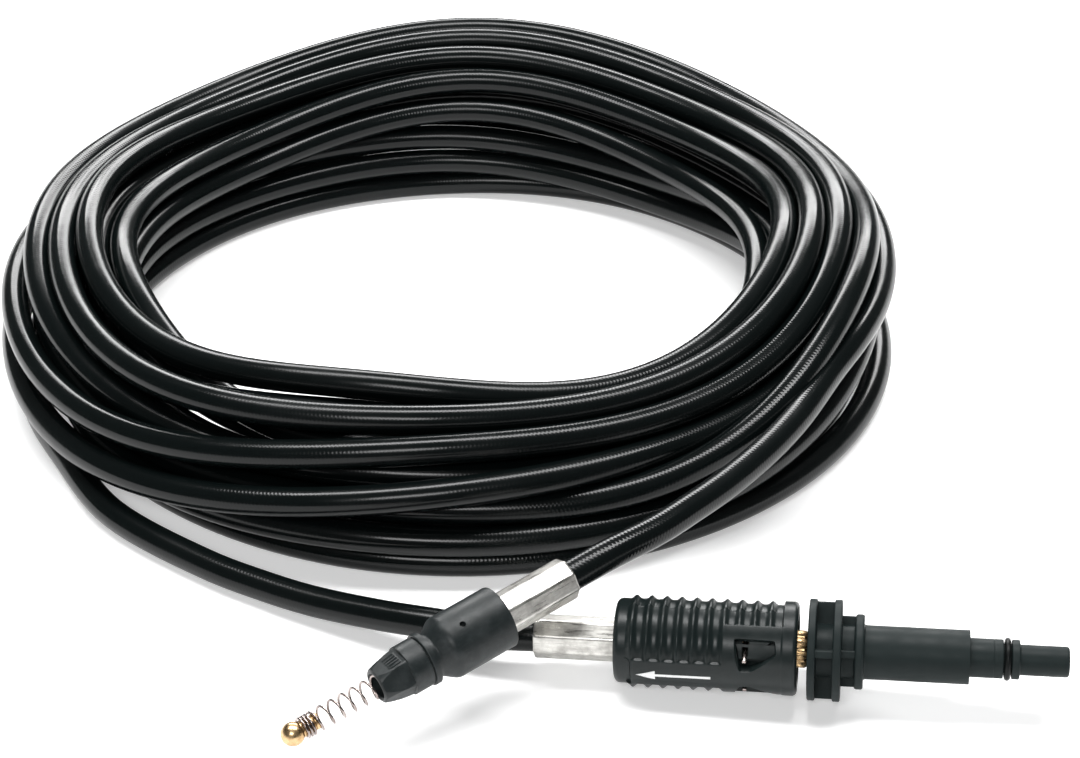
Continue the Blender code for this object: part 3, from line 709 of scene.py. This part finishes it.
def clip_mesh():
    """U of spring wire whose two legs straddle the groove in the plug."""
    tip_r = SLEEVE_PANEL_D / 2 - 0.0006
    tip = math.sqrt(tip_r ** 2 - CLIP_LEG_OFFSET ** 2)
    leg = [tip - (tip - CLIP_BEND_CENTRE) * k / 6 for k in range(6)]
    route = [Vector((CLIP_STATION, y, -CLIP_LEG_OFFSET)) for y in leg]
    steps = 24
    for k in range(steps + 1):
        angle = -math.pi / 2 - math.pi * k / steps
        route.append(Vector((CLIP_STATION, CLIP_BEND_CENTRE + CLIP_LEG_OFFSET * math.cos(angle),
                             CLIP_LEG_OFFSET * math.sin(angle))))
    route += [Vector((CLIP_STATION, y, CLIP_LEG_OFFSET)) for y in reversed(leg)]
    return wire_mesh("wire_clip", route, CLIP_WIRE_D / 2)


def plug_mesh():
    """Brass plug with the clip's groove and a toothed head whose teeth taper to the adapter."""
    end = ADAPTER_START - GAP
    start = end - PLUG_DEPTH
    head = end - 0.0042
    radius = PLUG_D / 2
    groove = CLIP_LEG_OFFSET - CLIP_WIRE_D / 2 - GAP
    half = CLIP_WIRE_D / 2 + GAP
    pitch = math.tau / PLUG_TEETH

    def teeth(depth, shrink=0.0):
        def radius_at(angle):
            off = abs(angle % pitch - pitch / 2) / (pitch / 2)
            return radius - shrink - depth * float(smoothstep(0.25, 0.85, off))
        return radius_at

    angles = around(PLUG_TEETH * 16)
    bore = 0.0015
    outline = [(start, bore), (start, radius - 0.0006), (start + 0.0006, radius),
               (CLIP_STATION - half, radius), (CLIP_STATION - half, groove),
               (CLIP_STATION + half, groove), (CLIP_STATION + half, radius), (head, radius),
               (head + 0.0005, teeth(0.0005)), (head + 0.0014, teeth(PLUG_TOOTH_DEPTH)),
               (end - 0.0008, teeth(PLUG_TOOTH_DEPTH)), (end, teeth(0.0012, 0.0004)), (end, bore)]
    return skin("brass_plug", [circle(station, r, angles) for station, r in outline], closed=True)


def adapter_stations():
    """Stations of the adapter's shoulders, each from the one before."""
    flange_1 = ADAPTER_START + FLANGE_T
    flange_2 = flange_1 + FLANGE_SPACE
    disc = flange_2 + FLANGE_T + DISC_SPACE
    barrel = disc + DISC_T
    step = barrel + BARREL_LENGTH
    seal = step + STEP_LENGTH
    collar = seal + SEAL_SECTION_D + 2 * GAP
    spigot = collar + SEAL_COLLAR_LENGTH
    tip = spigot + SPIGOT_LENGTH
    return flange_1, flange_2, disc, barrel, step, seal, collar, spigot, tip


def web_mesh(low, high, reach, turn):
    """A plate across the adapter's axis between two of its discs, with rounded edges."""
    half = WEB_T / 2
    soft = 0.0004
    section = rounded([(-reach, -half, soft), (reach, -half, soft),
                       (reach, half, soft), (-reach, half, soft)], 3)
    c, s = math.cos(turn), math.sin(turn)
    return skin("web", [[(x, y * c - z * s, y * s + z * c) for y, z in section] for x in (low, high)])


def adapter_mesh():
    """Bayonet adapter: two flanges and a disc with webs, a barrel with a panel, and a spigot."""
    flange_1, flange_2, disc, barrel, step, seal, collar, spigot, tip = adapter_stations()
    flange_r, disc_r, barrel_r = FLANGE_D / 2, DISC_D / 2, BARREL_D / 2
    step_r, collar_r, spigot_r = STEP_D / 2, SEAL_COLLAR_D / 2, SPIGOT_D / 2
    groove = SEAL_OUTER_D / 2 - SEAL_SECTION_D - GAP
    way = WATERWAY_D / 2
    flange_2_end = flange_2 + FLANGE_T
    line = step + 0.0072
    nick = 0.00012
    label = barrel + LABEL_CENTRE
    label_stations = [(station, barrel_r, 0.0) for station in
                      np.linspace(label - LABEL_LENGTH * 0.6, label + LABEL_LENGTH * 0.6, 121).tolist()]
    outline = rounded([
        (ADAPTER_START, way, 0.0003), (ADAPTER_START, flange_r, 0.0006), (flange_1, flange_r, 0.0005),
        (flange_1, barrel_r, 0.0006), (flange_2, barrel_r, 0.0006), (flange_2, flange_r, 0.0005),
        (flange_2_end, flange_r, 0.0005), (flange_2_end, barrel_r, 0.0006), (disc, barrel_r, 0.0006),
        (disc, disc_r, 0.0008), (barrel, disc_r, 0.0008), (barrel, barrel_r, 0.0006),
        *label_stations, (step, barrel_r, 0.0003), (step, step_r, 0.0005), (line, step_r, 0.0001),
        (line + 0.0002, step_r - nick, 0.0001), (line + 0.0004, step_r, 0.0001), (seal, step_r, 0.0004),
        (seal, groove, 0.0002), (collar, groove, 0.0002), (collar, collar_r, 0.0004),
        (spigot, collar_r, 0.0004), (spigot, spigot_r, 0.0004), (tip, spigot_r, 0.0010), (tip, way, 0.0004)])
    half_label = LABEL_WIDTH * 0.62 / barrel_r
    angles = sorted(around(128) + [PANEL_ANGLE % math.tau + half_label * (k / 45 - 1) for k in range(91)])
    corner = 0.0012
    groove_width = 0.00014

    def with_groove(at):
        def radius(angle):
            arc = ((angle - PANEL_ANGLE + math.pi) % math.tau - math.pi) * barrel_r
            across = abs(at - label) - LABEL_LENGTH / 2 + corner
            aside = abs(arc) - LABEL_WIDTH / 2 + corner
            away = math.hypot(max(across, 0.0), max(aside, 0.0)) + min(max(across, aside), 0.0) - corner
            return barrel_r - LABEL_DEPTH * math.exp(-(away / groove_width) ** 2)
        return radius

    loops = []
    for station, radius in outline:
        marked = radius == barrel_r and abs(station - label) < LABEL_LENGTH * 0.61
        loops.append(circle(station, with_groove(station) if marked else radius, angles))
    adapter = skin("adapter_body", loops, closed=True)
    overlap = 0.0006
    webs = []
    spans = ((flange_1 - overlap, flange_2 + overlap, flange_r - WEB_INSET),
             (flange_2_end - overlap, disc + overlap, disc_r - WEB_INSET))
    for low, high, reach in spans:
        for k in range(2):
            web = web_mesh(low, high, reach, WEB_TURN + k * math.pi / 2)
            ends = (low - 0.01, high + 0.01)
            webs.append(carve(web, [skin("way", [circle(x, way + 0.001, around(48)) for x in ends])]))
    return carve(adapter, webs, "UNION")


def seal_mesh():
    """The O-ring in its groove behind the collar."""
    seal = adapter_stations()[5]
    middle = seal + GAP + SEAL_SECTION_D / 2
    section = SEAL_SECTION_D / 2
    mean = SEAL_OUTER_D / 2 - section
    return turned("adapter_seal", [(middle + section * math.cos(a), mean + section * math.sin(a))
                                   for a in around(20)])


def cap_back():
    """Station of the cap's back face, where the holder's neck meets it."""
    return NOSE_START + NOSE_LENGTH + CAP_BODY_LENGTH + CAP_RING_LENGTH


def cap_mesh():
    """Nozzle cap: a nose with wrench flats and grip ridges, a round body with a lip, and a ring."""
    body = NOSE_START + NOSE_LENGTH
    back = cap_back()
    ring = back - CAP_RING_LENGTH
    bore = SPRING_D / 2 + GAP
    front_r, back_r, body_r, ring_r = (d / 2 for d in (NOSE_FRONT_D, NOSE_BACK_D, CAP_BODY_D, CAP_RING_D))
    step = math.tau / NOSE_FLATS
    angles = around(240)
    ridge_from, ridge_to = body - 0.0050, body - 0.0012

    def nose(share):
        limit = front_r + (back_r - front_r) * math.sin(share * math.pi / 2)
        apothem = front_r * 0.985 + (back_r * 0.90 - front_r * 0.985) * share
        station = NOSE_START + NOSE_LENGTH * share
        at_ridges = float(smoothstep(ridge_from - 0.0004, ridge_from + 0.0002, station)
                          * smoothstep(ridge_to + 0.0003, ridge_to - 0.0003, station))

        def radius(angle):
            r = min(limit, apothem / math.cos(angle % step - step / 2))
            off = angle - RIDGE_ANGLE
            if abs(off) < 2.5 * RIDGE_STEP:
                wave = 0.5 + 0.5 * math.cos(math.tau * off / RIDGE_STEP)
                r += RIDGE_HEIGHT * wave ** 1.5 * at_ridges
            return r
        return station, radius

    loops = [circle(back - CAP_FLOOR, bore, angles), circle(NOSE_START + 0.0005, bore, angles),
             circle(NOSE_START, bore + 0.0004, angles), circle(NOSE_START, front_r - 0.0007, angles),
             circle(NOSE_START + 0.0001, front_r - 0.0003, angles)]
    for k in range(33):
        station, radius = nose(0.04 + 0.96 * k / 32)
        loops.append(circle(station, radius, angles))
    notch = 0.0004
    lip = rounded([(body, body_r, 0.0004), (ring - notch, body_r, 0.0002),
                   (ring - notch, body_r - notch, 0.0001), (ring, body_r - notch, 0.0001),
                   (ring, ring_r, 0.0004), (back, ring_r, 0.0005)])
    loops += [circle(station, radius, angles) for station, radius in lip]
    loops.append(circle(back, 0.004, angles))
    loops.append(circle(back, AXIS_HOLE_R, angles))
    loops.append(circle(back - CAP_FLOOR, AXIS_HOLE_R, angles))
    return skin("nozzle_cap", loops, closed=True)


def holder_mesh():
    """Nozzle holder: neck, cone and cylinder, with a socket for the ferrule and a small sight hole."""
    neck = cap_back() - 0.0001
    cone = cap_back() + GAP + HOLDER_NECK_LENGTH
    barrel = cone + HOLDER_CONE_LENGTH
    end = barrel + HOLDER_LENGTH
    radius = HOLDER_D / 2
    socket = FERRULE_CORNER_R + GAP
    outline = rounded([(neck, AXIS_HOLE_R, 0.0), (neck, HOLDER_NECK_D / 2, 0.0003),
                       (cone, HOLDER_NECK_D / 2, 0.0003), (barrel, radius, 0.0012),
                       (end, radius, 0.0007), (end, socket, 0.0003),
                       (end - HOLDER_SOCKET_DEPTH, socket, 0.0),
                       (end - HOLDER_SOCKET_DEPTH, AXIS_HOLE_R, 0.0)], 6)
    holder = turned("nozzle_holder", outline, 128)
    place = barrel + SIGHT_HOLE_STATION
    depths = ((radius - SIGHT_HOLE_DEPTH, 1.0), (radius - 0.0002, 1.0), (radius + 0.0006, 1.5))
    hole = [[(place + SIGHT_HOLE_D / 2 * wide * math.cos(a), SIGHT_HOLE_D / 2 * wide * math.sin(a), z)
             for a in around(32)] for z, wide in depths]
    tool = skin("hole", hole)
    tool.transform(Matrix.Rotation(SIGHT_HOLE_TURN, 4, "X"))
    return carve(holder, [tool])


def spring_mesh():
    """Open spring whose first turns wrap the brass stem."""
    mean = (SPRING_D - SPRING_WIRE_D) / 2
    per_turn = 32
    seat = cap_back() - CAP_FLOOR - GAP - SPRING_WIRE_D / 2
    wrap_end = SPRING_WRAP_START + SPRING_WRAPS * SPRING_WRAP_PITCH
    open_length = seat - wrap_end
    open_turns = round(open_length / SPRING_PITCH)
    route = []
    for k in range((SPRING_WRAPS + open_turns) * per_turn + 1):
        turn = k / per_turn
        if turn <= SPRING_WRAPS:
            station = SPRING_WRAP_START + turn * SPRING_WRAP_PITCH
        else:
            station = wrap_end + (turn - SPRING_WRAPS) * open_length / open_turns
        angle = math.tau * turn
        route.append(Vector((station, mean * math.cos(angle), mean * math.sin(angle))))
    return wire_mesh("tip_spring", route, SPRING_WIRE_D / 2, 12), seat


def tip_mesh():
    """Brass ball with a stem that the spring grips."""
    radius = BALL_D / 2
    stem = STEM_D / 2
    last = math.pi - math.asin(stem / radius)
    outline = []
    for k in range(1, 33):
        angle = last * k / 32
        outline.append((-radius * math.cos(angle), radius * math.sin(angle)))
    outline += rounded([(0.0042, stem, 0.0), (STEM_LENGTH - 0.0022, stem, 0.0002),
                        (STEM_LENGTH - 0.0019, stem - 0.0003, 0.0001),
                        (STEM_LENGTH - 0.0016, stem, 0.0002),
                        (STEM_LENGTH, stem, 0.0007), (STEM_LENGTH, 0.0006, 0.0)])
    return skin("brass_tip", [circle(station, r, around(64)) for station, r in outline])


class Shader:
    """A material under construction: a Principled shader and the nodes that feed it."""

    def __init__(self, name, color, roughness, metallic=0.0):
        self.material = bpy.data.materials.new(name)
        self.material.use_nodes = True
        self.tree = self.material.node_tree
        self.surface = self.tree.nodes["Principled BSDF"]
        self.set("Base Color", (*color, 1.0))
        self.set("Roughness", roughness)
        self.set("Metallic", metallic)

    def set(self, socket, value):
        self.surface.inputs[socket].default_value = value

    def node(self, kind, **settings):
        made = self.tree.nodes.new(kind)
        for key, value in settings.items():
            setattr(made, key, value)
        return made

    def link(self, source, target):
        self.tree.links.new(source, target)

    def math(self, operation, first, second):
        made = self.node("ShaderNodeMath", operation=operation)
        for socket, value in zip(made.inputs, (first, second)):
            if isinstance(value, (int, float)):
                socket.default_value = value
            else:
                self.link(value, socket)
        return made.outputs[0]

    def place(self):
        return self.node("ShaderNodeTexCoord").outputs["Object"]

    def stretched(self, scale):
        """The place scaled by three numbers, for streaks."""
        mapping = self.node("ShaderNodeMapping")
        mapping.inputs["Scale"].default_value = scale
        self.link(self.place(), mapping.inputs["Vector"])
        return mapping.outputs[0]

    def noise(self, scale, detail=4.0, roughness=0.55, where=None):
        made = self.node("ShaderNodeTexNoise")
        made.inputs["Scale"].default_value = scale
        made.inputs["Detail"].default_value = detail
        made.inputs["Roughness"].default_value = roughness
        self.link(where or self.place(), made.inputs["Vector"])
        return made.outputs["Fac"]

    def ramp(self, source, low, high, first, last):
        """Maps source from low..high to first..last."""
        made = self.node("ShaderNodeMapRange")
        names = ("From Min", "From Max", "To Min", "To Max")
        for name, value in zip(names, (low, high, first, last)):
            made.inputs[name].default_value = value
        self.link(source, made.inputs["Value"])
        return made.outputs[0]

    def mix(self, share, first, second):
        """Goes from the first colour to the second as the share grows."""
        made = self.node("ShaderNodeMix", data_type="RGBA")
        self.link(share, made.inputs[0])
        made.inputs[6].default_value = (*first, 1.0)
        made.inputs[7].default_value = (*second, 1.0)
        return made.outputs[2]

    def bump(self, height, distance, strength=1.0, under=None):
        made = self.node("ShaderNodeBump")
        made.inputs["Distance"].default_value = distance
        made.inputs["Strength"].default_value = strength
        self.link(height, made.inputs["Height"])
        if under is not None:
            self.link(under, made.inputs["Normal"])
        return made.outputs["Normal"]

    def feed(self, socket, source):
        self.link(source, self.surface.inputs[socket])


def hose_rubber():
    """Glossy black hose cover; the braid under it shows as a fine ripple in the highlights."""
    shader = Shader("hose_rubber", HOSE_BLACK, 0.2)
    shader.set("Specular IOR Level", 0.23)
    uv = shader.node("ShaderNodeUVMap", uv_map="along").outputs["UV"]
    split = shader.node("ShaderNodeSeparateXYZ")
    shader.link(uv, split.inputs[0])
    length, turn = split.outputs[0], split.outputs[1]
    braid_pitch = 0.0013
    strands = 10.0
    along = shader.math("MULTIPLY", length, math.tau / braid_pitch)
    twist = shader.math("MULTIPLY", turn, math.tau * strands)
    one = shader.math("SINE", shader.math("ADD", along, twist), 0.0)
    other = shader.math("SINE", shader.math("SUBTRACT", along, twist), 0.0)
    braid = shader.math("ADD", one, other)
    soft = shader.noise(60.0, 3.0)
    patchy = shader.ramp(shader.noise(9.0, 2.0), 0.42, 0.62, 0.15, 1.0)
    ripple = shader.bump(shader.math("MULTIPLY", braid, patchy), 0.000018, 0.6)
    wavy = shader.bump(soft, 0.0004, 0.25, ripple)
    shader.feed("Normal", wavy)
    shader.feed("Roughness", shader.ramp(shader.noise(24.0, 5.0), 0.35, 0.7, 0.15, 0.27))
    return shader.material


def moulded(name, color, scuffed, worn, grain, gloss, sheen):
    """Satin moulded plastic: fine grain, uneven gloss and faint pale scuffs.

    worn is the share of the scuffs' colour, gloss the roughness from and to, sheen the specular level.
    """
    shader = Shader(name, color, 0.45)
    shader.set("Specular IOR Level", sheen)
    patches = shader.ramp(shader.noise(260.0, 5.0, 0.6), 0.46, 0.74, 0.0, 1.0)
    along_axis = shader.stretched((260.0, 1500.0, 1500.0))
    streaks = shader.ramp(shader.noise(1.0, 5.0, 0.6, along_axis), 0.58, 0.78, 0.0, 1.0)
    scuffs = shader.math("MULTIPLY", shader.math("MAXIMUM", patches, streaks), worn)
    shader.feed("Base Color", shader.mix(scuffs, color, scuffed))
    shader.feed("Roughness", shader.ramp(shader.noise(150.0, 5.0, 0.6), 0.35, 0.68, *gloss))
    skin_grain = shader.bump(shader.noise(3200.0, 3.0, 0.6), grain, 0.7)
    shader.feed("Normal", shader.bump(shader.noise(260.0, 3.0), 0.00008, 0.35, skin_grain))
    return shader.material


def metal(name, color, stained, gloss, streak=(120.0, 1400.0, 1400.0), relief=0.00002):
    """Worn metal: streaks along its axis, stains and uneven gloss."""
    shader = Shader(name, color, gloss[0], 1.0)
    streaks = shader.noise(1.0, 5.0, 0.65, shader.stretched(streak))
    stains = shader.ramp(shader.noise(230.0, 5.0, 0.6), 0.42, 0.66, 0.0, 1.0)
    shade = shader.math("MAXIMUM", stains, shader.ramp(streaks, 0.50, 0.68, 0.0, 0.8))
    shader.feed("Base Color", shader.mix(shade, color, stained))
    shader.feed("Roughness", shader.ramp(streaks, 0.34, 0.66, *gloss))
    lines = shader.bump(streaks, relief, 0.6)
    shader.feed("Normal", shader.bump(shader.noise(700.0, 4.0), relief * 2, 0.5, lines))
    return shader.material


def soft_black():
    """Black rubber of the seal, with a fine dull skin."""
    shader = Shader("seal_rubber", SEAL_BLACK, 0.4)
    shader.set("Specular IOR Level", 0.15)
    shader.feed("Roughness", shader.ramp(shader.noise(500.0, 4.0), 0.35, 0.65, 0.28, 0.5))
    shader.feed("Normal", shader.bump(shader.noise(1800.0, 3.0), 0.00001, 0.6))
    return shader.material


def white_paint():
    """Printed white of the arrow, a little worn."""
    shader = Shader("arrow_white", PAINT_WHITE, 0.5)
    worn = shader.ramp(shader.noise(1500.0, 5.0, 0.65), 0.60, 0.72, 0.0, 0.7)
    shader.feed("Base Color", shader.mix(worn, PAINT_WHITE, PAINT_WORN))
    shader.feed("Normal", shader.bump(shader.noise(2600.0, 3.0), 0.00001, 0.6))
    return shader.material


def add_hose(material, with_pieces):
    """The whole hose as one cord; with_pieces, the fittings handed in, is not used."""
    path = hose_path()
    hose = tube_mesh("hose", path, HOSE_D / 2, HOSE_SIDES)
    hose.data.materials.append(material)
    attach(hose, "hose")
    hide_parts("hose_coil", "hose_tail_connector", "hose_tail_nozzle")


def add_coupling(steel, wire, brass):
    """The pieces at the coupling's end, from the ferrule to the seal on the spigot."""
    plastic = moulded("coupling_plastic", SLEEVE_BLACK, SLEEVE_WORN, 0.25, 0.000025, (0.28, 0.42), 0.25)
    # The inner body's plastic is painted lighter, to make up for the shade it lies in behind the windows
    core_plastic_painted_light = moulded("core_plastic_painted_light", CORE_PAINTED_LIGHT, CORE_WORN_PAINTED_LIGHT, 0.25, 0.000025, (0.40, 0.55), 0.3)
    adapter_plastic = moulded("adapter_plastic", ADAPTER_BLACK, SLEEVE_WORN, 0.25, 0.000015,
                              (0.45, 0.60), 0.15)
    piece("coupling_ferrule", ferrule_mesh("coupling_ferrule", 0.0, FERRULE_LENGTH), CONNECTOR, "hose",
          "ferrule_metal", steel, "connector_ferrule")
    piece("ribbed_sleeve", sleeve_mesh(), CONNECTOR, "sleeve", "coupling_plastic", plastic, "pull_sleeve")
    piece("sleeve_arrow", arrow_mesh(), CONNECTOR, "sleeve", "coupling_plastic", white_paint())
    piece("inner_body", core_mesh(), CONNECTOR, "hose", "coupling_plastic", core_plastic_painted_light, "coupling_core")
    piece("clip", clip_mesh(), CONNECTOR, "hose", "spring_wire", wire, "wire_clip")
    piece("toothed_plug", plug_mesh(), CONNECTOR, "adapter", "brass", brass, "brass_plug")
    piece("bayonet_adapter", adapter_mesh(), CONNECTOR, "adapter", "adapter_plastic", adapter_plastic,
          "adapter_body")
    piece("o_ring", seal_mesh(), CONNECTOR, "adapter", "seal_rubber", soft_black(), "adapter_seal")


def add_nozzle(steel, wire, brass):
    """The nozzle's pieces; the ferrule and the holder, which sit on the hose, are handed back."""
    plastic = moulded("nozzle_plastic", NOZZLE_BLACK, NOZZLE_WORN, 0.3, 0.00005, (0.34, 0.50), 0.3)
    face = HOLDER_END - HOLDER_SOCKET_DEPTH + GAP
    ferrule = piece("nozzle_end_ferrule", ferrule_mesh("nozzle_end_ferrule", face, NOZZLE_FERRULE_LENGTH),
                    NOZZLE, "hose", "ferrule_metal", steel, "nozzle_ferrule")
    holder = piece("holder", holder_mesh(), NOZZLE, "hose", "nozzle_plastic", plastic, "nozzle_holder")
    piece("cap", cap_mesh(), NOZZLE, "hose", "nozzle_plastic", plastic, "nozzle_cap")
    coil, seat = spring_mesh()
    spring = piece("spring", coil, NOZZLE, "hose", "spring_wire", wire, "tip_spring")
    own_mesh(spring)
    piece("ball_tip", tip_mesh(), NOZZLE, "tip", "brass", brass, "brass_tip")
    return [ferrule, holder]


def add_floor():
    """A plain pale floor."""
    half = 4.0
    corners = [(-half, -half, 0), (half, -half, 0), (half, half, 0), (-half, half, 0)]
    mesh = bpy.data.meshes.new("floor")
    mesh.from_pydata(corners, [], [(0, 1, 2, 3)])
    floor = add_object("floor", mesh)
    white = Shader("floor_white", (0.85, 0.85, 0.85), 0.8)
    white.set("Emission Color", (1.0, 1.0, 1.0, 1.0))
    white.set("Emission Strength", 0.38)
    mesh.materials.append(white.material)


def add_light(name, place, size, power):
    """A soft rectangular light that faces the coil."""
    data = bpy.data.lights.new(name, "AREA")
    data.shape = "RECTANGLE"
    data.size, data.size_y = size
    data.energy = power
    light = add_object(name, data)
    light.location = place
    light.rotation_euler = (LIGHT_AIM - Vector(place)).to_track_quat("-Z", "Y").to_euler()


def add_lights():
    """A dim white room with three soft lights."""
    world = bpy.data.worlds.new("studio")
    world.use_nodes = True
    world.node_tree.nodes["Background"].inputs["Color"].default_value = (1.0, 1.0, 1.0, 1.0)
    world.node_tree.nodes["Background"].inputs["Strength"].default_value = 0.10
    bpy.context.scene.world = world
    bpy.context.scene.view_settings.view_transform = "Standard"
    add_light("overhead", (0.0, 0.15, 1.5), (1.8, 0.34), 40.0)
    add_light("behind", (-0.1, 1.8, 1.05), (1.9, 0.5), 40.0)
    add_light("front", (-0.2, -1.5, 1.25), (0.7, 0.4), 12.0)


def add_camera():
    """The camera stands where the photograph was taken from."""
    pitch, yaw = CAMERA_PITCH, CAMERA_YAW
    data = bpy.data.cameras.new("camera")
    data.sensor_width = CAMERA_SENSOR
    data.lens = CAMERA_LENS
    data.clip_start = 0.05
    camera = add_object("camera", data)
    camera.location = COIL_CENTRE + CAMERA_PLACE
    ahead = Vector((math.sin(yaw) * math.cos(pitch), math.cos(yaw) * math.cos(pitch), -math.sin(pitch)))
    camera.rotation_euler = ahead.to_track_quat("-Z", "Y").to_euler()
    bpy.context.scene.camera = camera


def main():
    add_camera()
    steel = metal("ferrule_metal", STEEL, STEEL_STAINED, (0.24, 0.46))
    wire = metal("spring_wire", WIRE_STEEL, WIRE_STAINED, (0.12, 0.24), (900.0, 900.0, 900.0), 0.00001)
    brass = metal("brass", BRASS, BRASS_STAINED, (0.22, 0.38), (700.0, 700.0, 700.0))
    add_hose(hose_rubber(), add_nozzle(steel, wire, brass))
    add_coupling(steel, wire, brass)
    add_floor()
    add_lights()


main()
